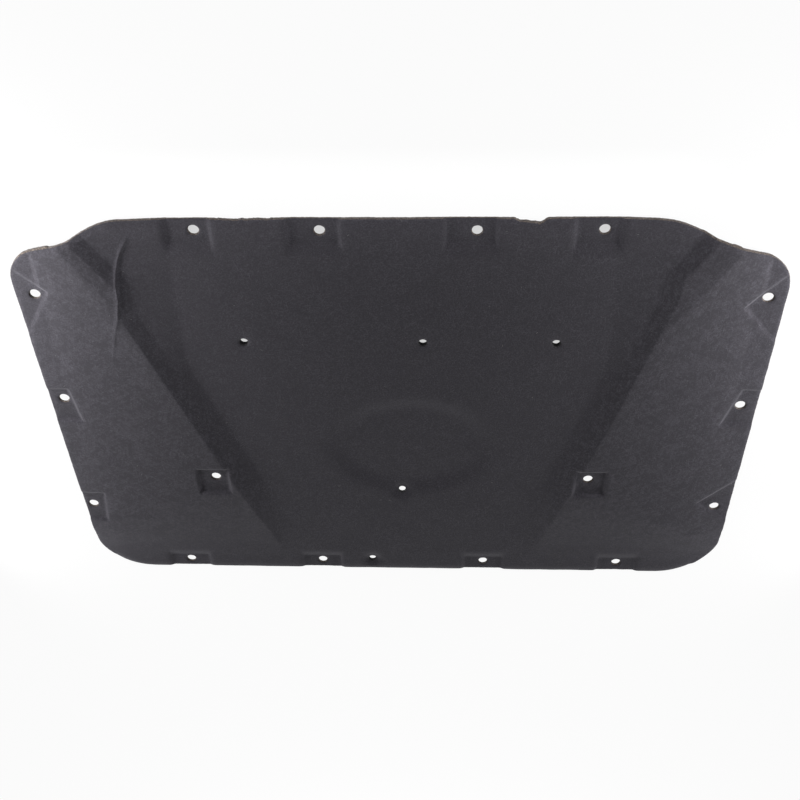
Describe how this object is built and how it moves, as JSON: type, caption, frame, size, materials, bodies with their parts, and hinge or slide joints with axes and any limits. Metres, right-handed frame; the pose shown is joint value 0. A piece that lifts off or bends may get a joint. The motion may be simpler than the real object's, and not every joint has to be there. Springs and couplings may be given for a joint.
{
  "type": "hood insulation pad",
  "caption": "Press-moulded black felt pad that lines the underside of a car hood, with raised side shelves, pressed clip seats round its edge and clip holes through it.",
  "frame": {"origin": "middle of the bounding box, on the plane that the pad's back lies on", "axes": "+X across the car (to the right in the picture), +Y towards the rear edge with the shoulders, +Z out of the visible face"},
  "size_m": [1.207, 0.8177, 0.0319],
  "materials": {
    "felt": "matt charcoal needled felt"
  },
  "bodies": {
    "root": {"hood_pad": "felt"}
  },
  "joints": []
}
